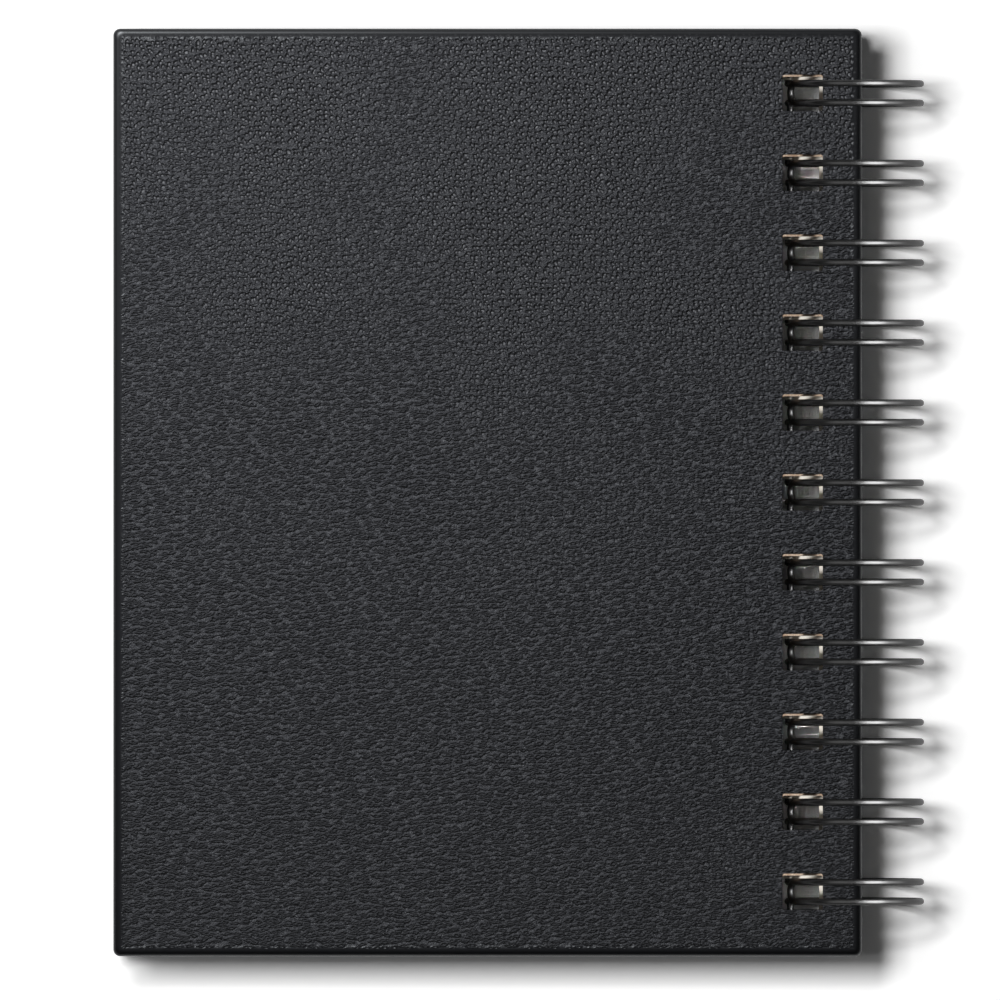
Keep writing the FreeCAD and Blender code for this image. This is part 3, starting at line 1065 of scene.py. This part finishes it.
@dataclass
class BindingWire:
    """One wire bent to twin loops, whose round tips close behind the last sheet."""

    diameter: float = 1.1
    leg_spacing: float = 3.1
    bend_radius: float = 1.0
    tip_gap: float = 0.15
    layer_gap: float = 0.1
    end_stub: float = 2.2
    leg_steps: int = 84
    bend_steps: int = 8
    nose_steps: int = 18
    sides: int = 18
    smooth_under: float = 60.0
    box: Box = field(init=False)
    punching: Punching = field(init=False)

    def __post_init__(self) -> None:
        """Reads the wire's place from the frame."""
        self.box = Box.of("twin_loop_wire")
        self.punching = Punching(spine_edge=Box.of("back_cover_wrap").high.x)

    @property
    def ring_radius(self) -> float:
        """From the loops' axis to the middle of the wire."""
        return (self.box.high.x - self.box.low.x - self.diameter) / 2

    @property
    def axis(self) -> Vector:
        """The middle of the loops, at the middle of the row."""
        radius = self.ring_radius + self.diameter / 2
        return Vector((self.box.high.x - radius, 0.0, radius))

    def seam_angle(self) -> float:
        """Where the legs leave their bends, about the loops' axis from +X towards +Z.

        Returns:
            The angle in radians, with the links just above the last sheet.
        """
        gap = Box.of("page_block").high.z - self.axis.z + self.layer_gap + self.diameter / 2
        ring, bend = self.ring_radius, self.bend_radius
        return math.pi + math.atan2(bend, ring) - math.asin(gap / math.hypot(ring, bend))

    def arc(self, start: Vector, heading: Vector, end: Vector, steps: int) -> Ring:
        """The points after start on the arc that leaves it along heading and meets end.

        Args:
            start: Where the arc starts.
            heading: Its direction there.
            end: Where it ends.
            steps: How many chords it has.

        Returns:
            Its points, the last of them end.
        """
        chord = end - start
        along = chord.normalized()
        half_turn = math.acos(max(-1.0, min(1.0, heading.dot(along))))
        side = (heading - along * heading.dot(along)).normalized()
        radius = chord.length / 2 / math.sin(half_turn)
        centre = (start + end) / 2 - side * (radius * math.cos(half_turn))
        points = []
        for step in range(1, steps + 1):
            turn = half_turn * (2.0 * step / steps - 1.0)
            points.append(centre + side * (radius * math.cos(turn)) + along * (radius * math.sin(turn)))
        return points

    def loop_points(self) -> Ring:
        """The middle line of one twin loop, from the end of one link to the start of the next.

        Returns:
            Its points about the middle of the loop, in millimetres.
        """
        ring, bend, half_leg = self.ring_radius, self.bend_radius, self.leg_spacing / 2
        base = self.seam_angle()
        up = Vector((math.sin(base), 0.0, -math.cos(base)))
        across = Vector((0.0, 1.0, 0.0))
        reach = half_leg + bend
        nested = math.sqrt((reach + self.diameter + self.tip_gap) ** 2 - reach**2) - bend
        shoulder = 2 * math.pi + base - (bend + nested) / ring

        def at(angle: float, y: float) -> Vector:
            """A point on the loops' cylinder."""
            return self.axis + Vector((ring * math.cos(angle), y, ring * math.sin(angle)))

        turns = [base + (shoulder - base) * i / self.leg_steps for i in range(self.leg_steps + 1)]
        points = [at(base, -reach) + up * bend]
        points += self.arc(points[-1], across, at(base, -half_leg), self.bend_steps)
        points += [at(angle, -half_leg) for angle in turns[1:]]
        down = Vector((-math.sin(shoulder), 0.0, math.cos(shoulder)))
        points += self.arc(points[-1], down, at(shoulder, half_leg), self.nose_steps)
        points += [at(angle, half_leg) for angle in reversed(turns[:-1])]
        points += self.arc(points[-1], up * -1.0, at(base, reach) + up * bend, self.bend_steps)
        return points

    def make_line(self) -> Object:
        """One loop's middle line as a curve.

        Returns:
            An object that is only a pattern for the wire.
        """
        points = self.loop_points()
        curve = bpy.data.curves.new("loop_line", "CURVE")
        curve.dimensions = "3D"
        spline = curve.splines.new("POLY")
        spline.points.add(len(points) - 1)
        for place, point in zip(spline.points, points):
            place.co = (*(point * MM), 1.0)
        return in_scene("loop_line", curve)

    def tree(self) -> TreeMaker:
        """The tree that repeats the loop, links the loops and gives the wire its thickness.

        Returns:
            The tree, with its inputs named.
        """
        maker = TreeMaker("twin_loops")
        line, count, pitch, seam, reach, stub, radius, sides, finish = maker.take(
            Loop="Object",
            Loops="Int",
            Pitch="Float",
            Seam="Vector",
            Reach="Float",
            Stub="Float",
            Radius="Float",
            Sides="Int",
            Coating="Material",
        )
        loop = maker.add("GeometryNodeObjectInfo", None, {"Object": line}).outputs["Geometry"]
        gaps = maker.maths("SUBTRACT", count, 1.0)
        half_row = maker.maths("MULTIPLY", maker.maths("MULTIPLY", gaps, pitch), 0.5)
        step = maker.vector(Y=pitch)
        first = maker.vector(Y=maker.maths("MULTIPLY", half_row, -1.0))

        def line_between(start: NodeSocket, end: NodeSocket) -> NodeSocket:
            """A straight line on the line of the links, between two distances along the row."""
            ends = [maker.vector_maths("ADD", {0: seam, 1: maker.vector(Y=part)}) for part in (start, end)]
            return maker.shape("CurvePrimitiveLine", {"Start": ends[0], "End": ends[1]})

        def row(number: NodeSocket, thing: NodeSocket) -> NodeSocket:
            """Copies of a thing, one pitch apart from the first loop on."""
            places = maker.shape("MeshLine", {"Count": number, "Start Location": first, "Offset": step})
            return maker.shape("InstanceOnPoints", {"Points": places, "Instance": thing})

        link = line_between(reach, maker.maths("SUBTRACT", pitch, reach))
        outer = maker.maths("ADD", half_row, reach)
        tip = maker.maths("ADD", outer, stub)
        tail_stub = line_between(maker.maths("MULTIPLY", tip, -1.0), maker.maths("MULTIPLY", outer, -1.0))
        head_stub = line_between(outer, tip)
        join = maker.add("GeometryNodeJoinGeometry")
        for piece in (row(count, loop), row(gaps, link), tail_stub, head_stub):
            maker.tree.links.new(piece, join.inputs[0])
        real = maker.shape("RealizeInstances", {"Geometry": join.outputs[0]})
        section = {"Resolution": sides, "Radius": radius}
        profile = maker.shape("CurvePrimitiveCircle", section, {"mode": "RADIUS"})
        tube = maker.shape("CurveToMesh", {"Curve": real, "Profile Curve": profile})
        maker.close(tube, finish)
        return maker

    def dress(self, coating: Material) -> Object:
        """Makes the wire and puts it on the pages' body.

        Args:
            coating: Its material.

        Returns:
            The wire.
        """
        pattern = self.make_line()
        start = self.loop_points()[0]
        values = {
            "Loop": pattern,
            "Loops": self.punching.count,
            "Pitch": self.punching.pitch * MM,
            "Seam": Vector((start.x, 0.0, start.z)) * MM,
            "Reach": (self.leg_spacing / 2 + self.bend_radius) * MM,
            "Stub": self.end_stub * MM,
            "Radius": self.diameter / 2 * MM,
            "Sides": self.sides,
            "Coating": coating,
        }
        wire = self.tree().grow("binding_wire", values)
        bpy.data.objects.remove(pattern)
        mesh = bmesh.new()
        mesh.from_mesh(wire.data)
        ends = [edge for edge in mesh.edges if edge.is_boundary]
        capped = bmesh.ops.holes_fill(mesh, edges=ends, sides=self.sides)["faces"]
        bmesh.ops.recalc_face_normals(mesh, faces=mesh.faces)
        for face in mesh.faces:
            face.smooth = len(face.verts) == 4
        for edge in mesh.edges:
            edge.smooth = edge.calc_face_angle(0.0) < math.radians(self.smooth_under)
        mesh.to_mesh(wire.data)
        mesh.free()
        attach(wire, "pages")
        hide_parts("twin_loop_wire")
        log.info("binding_wire: %d faces, %d open ends closed", len(wire.data.polygons), len(capped))
        return wire


class Lights(Enum):
    """What a lamp lights."""

    FLOOR = "floor"
    LEATHERETTE = "leatherette"
    INSIDE = "inside"
    WIRE = "wire"


@dataclass(frozen=True)
class Lamp:
    """A rectangular lamp above the notebook, turned towards it. Its width runs along X."""

    name: str
    lights: Lights
    slope: Point2
    height: float
    width: float
    length: float
    level: float
    gloss_only: bool = False
    beam: bool = False
    aim: Point2 = (0.0, 0.0)
    beam_spread: float = 1.0

    def place(self) -> Object:
        """Makes the lamp, with the power that gives its level of light on a flat sheet.

        Returns:
            The lamp.
        """
        place = Vector((self.slope[0], self.slope[1], 1.0)) * self.height
        data = bpy.data.lights.new(self.name, "AREA")
        data.shape = "RECTANGLE"
        data.size = self.width
        data.size_y = self.length
        data.energy = self.level * math.pi**2 * place.length**3 / self.height
        if self.beam:
            data.spread = math.radians(self.beam_spread)
            data.energy = self.level * math.pi * self.width * self.length
        made = in_scene(self.name, data)
        made.location = place + Vector((*self.aim, 0.0)) * MM
        out = place.normalized()
        across = Vector((0.0, 1.0, 0.0)).cross(out).normalized()
        made.rotation_euler = Matrix((across, out.cross(across), out)).transposed().to_euler()
        made.visible_camera = False
        made.visible_glossy = self.lights is not Lights.FLOOR
        made.visible_diffuse = not self.gloss_only
        return made


@dataclass
class Studio:
    """The white floor, the lamps, the sky and the camera."""

    floor: Object | None = None
    floor_reach: float = 3.0
    sky: float = 0.055
    ceiling_reach: float = 9.0
    ceiling_height: float = 1.5
    aim: Point2 = (-3.0, -1.2)
    aim_level: float = 17.0
    pixels_per_millimetre: float = 6.29
    frame_pixels: int = 1000
    sensor: float = 36.0
    lens: float = 1600.0
    clip: Point2 = (0.1, 50.0)
    lamps: tuple[Lamp, ...] = (
        Lamp("main_floor_lamp", Lights.FLOOR, (-0.30, 0.11), 1.2, 0.34, 0.28, 0.56),
        Lamp("small_floor_lamp", Lights.FLOOR, (-0.21, 0.26), 1.2, 0.22, 0.10, 0.24),
        Lamp("low_floor_lamp", Lights.FLOOR, (-0.60, 0.05), 1.2, 0.45, 0.45, 0.16),
        Lamp("hole_lamp", Lights.FLOOR, (0.0, -0.09), 0.3, 0.004, 0.135, 2.4, beam=True, aim=(46.2, 0.0)),
        Lamp("cover_lamp", Lights.LEATHERETTE, (-0.55, 0.85), 0.26, 0.09, 0.09, 0.78),
        Lamp("inside_lamp", Lights.INSIDE, (-0.35, -0.85), 0.9, 0.16, 0.16, 0.85),
        Lamp("strip_lamp", Lights.WIRE, (0.72, 0.0), 0.85, 0.62, 1.7, 5.8, gloss_only=True),
        Lamp("side_lamp", Lights.WIRE, (2.4, 0.0), 0.36, 0.55, 1.2, 0.34, gloss_only=True),
        Lamp("dim_lamp", Lights.WIRE, (-0.45, 0.0), 0.85, 0.60, 1.7, 0.55, gloss_only=True),
    )

    def lay_sheet(self, name: str, reach: float, level: float) -> Object:
        """Makes a square sheet of the studio, parallel to the floor.

        Args:
            name: Its name.
            reach: Half its side, in metres.
            level: Its height, in metres.

        Returns:
            The sheet.
        """
        mesh = bmesh.new()
        corners = ((-reach, -reach), (reach, -reach), (reach, reach), (-reach, reach))
        mesh.faces.new([mesh.verts.new((*corner, level)) for corner in corners])
        made = to_object(mesh, name)
        return made

    def lay_floor(self) -> None:
        """Lays the floor, which the loops stand on."""
        self.floor = self.lay_sheet("floor", self.floor_reach, 0.0)
        self.floor.data.materials.append(StudioPaper().material())

    def light_sky(self) -> None:
        """Lights the sky: white where it is seen or mirrored, and dim as a light."""
        world = bpy.data.worlds.new("studio_sky")
        world.use_nodes = True
        graph = Graph(world.node_tree)
        tone = graph.blend(graph.seen_rays(), grey(self.sky), grey(1.0))
        sky = graph.add("ShaderNodeBackground", None, {"Color": tone, "Strength": 1.0})
        graph.add("ShaderNodeOutputWorld", None, {"Surface": sky.outputs[0]})
        bpy.context.scene.world = world

    def hang_ceiling(self) -> None:
        """Hangs a black sheet over the lamps. Only what is glossy shows it, as a dark reflection."""
        ceiling = self.lay_sheet("dark_ceiling", self.ceiling_reach, self.ceiling_height)
        shade = bpy.data.materials.new("dark_cloth")
        shade.use_nodes = True
        cloth = shade.node_tree.nodes["Principled BSDF"].inputs
        cloth["Base Color"].default_value = grey(0.0)
        cloth["Specular IOR Level"].default_value = 0.0
        ceiling.data.materials.append(shade)
        ceiling.visible_camera = False
        ceiling.visible_diffuse = False
        ceiling.visible_transmission = False
        ceiling.visible_shadow = False

    def set_camera(self) -> None:
        """Puts the camera straight above the notebook, so far away that all the loops are edge-on."""
        data = bpy.data.cameras.new("camera")
        data.sensor_width = self.sensor
        data.lens = self.lens
        data.clip_start, data.clip_end = self.clip
        distance = self.lens * self.frame_pixels / self.sensor / self.pixels_per_millimetre
        camera = in_scene("camera", data)
        camera.location = Vector((*self.aim, self.aim_level + distance)) * MM
        bpy.context.scene.camera = camera

    def build(self) -> None:
        """Makes the floor, the sky, the ceiling and the camera."""
        self.lay_floor()
        self.light_sky()
        self.hang_ceiling()
        self.set_camera()
        bpy.context.scene.view_settings.view_transform = "Standard"

    def light(self, wraps: list[Object], wire: Object) -> None:
        """Places the lamps and gives each of them what it lights.

        Args:
            wraps: The covers' leatherette.
            wire: The binding wire.
        """
        members = {
            Lights.FLOOR: [self.floor],
            Lights.LEATHERETTE: wraps,
            Lights.INSIDE: [self.floor, wire, *wraps],
            Lights.WIRE: [wire],
        }
        groups = {lights: self.group(f"{lights.value}_light", things) for lights, things in members.items()}
        for link in groups[Lights.INSIDE].collection_objects:
            link.light_linking.link_state = "EXCLUDE"
        shadeless = self.group("no_shade_on_covers", [wire])
        shadeless.collection_objects[0].light_linking.link_state = "EXCLUDE"
        for lamp in self.lamps:
            made = lamp.place()
            made.light_linking.receiver_collection = groups[lamp.lights]
            if lamp.lights is Lights.LEATHERETTE:
                made.light_linking.blocker_collection = shadeless

    def group(self, name: str, things: list[Object]) -> Collection:
        """Gathers objects for a lamp.

        Args:
            name: The group's name.
            things: What is in it.

        Returns:
            The group.
        """
        made = bpy.data.collections.new(name)
        for thing in things:
            made.objects.link(thing)
        return made


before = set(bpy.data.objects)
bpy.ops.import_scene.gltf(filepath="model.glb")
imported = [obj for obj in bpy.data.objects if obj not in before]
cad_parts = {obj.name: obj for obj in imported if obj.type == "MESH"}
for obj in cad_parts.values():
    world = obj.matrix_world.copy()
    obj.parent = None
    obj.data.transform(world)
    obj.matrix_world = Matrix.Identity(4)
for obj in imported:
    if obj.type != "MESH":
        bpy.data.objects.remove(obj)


def main() -> None:
    """Builds the studio and the notebook's pieces, and lights them."""
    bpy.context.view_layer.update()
    studio = Studio()
    studio.build()
    leatherette = PebbledLeatherette().material(Box.of("back_cover_wrap"))
    board = PressedBoard().material()
    lining = LiningPaper().material()
    wraps = [Cover(side).dress(leatherette, board, lining) for side in Side]
    PageStack().dress(RuledPaper().material())
    wire = BindingWire().dress(CoatedWire().material())
    studio.light(wraps, wire)


if __name__ == "__main__":
    main()
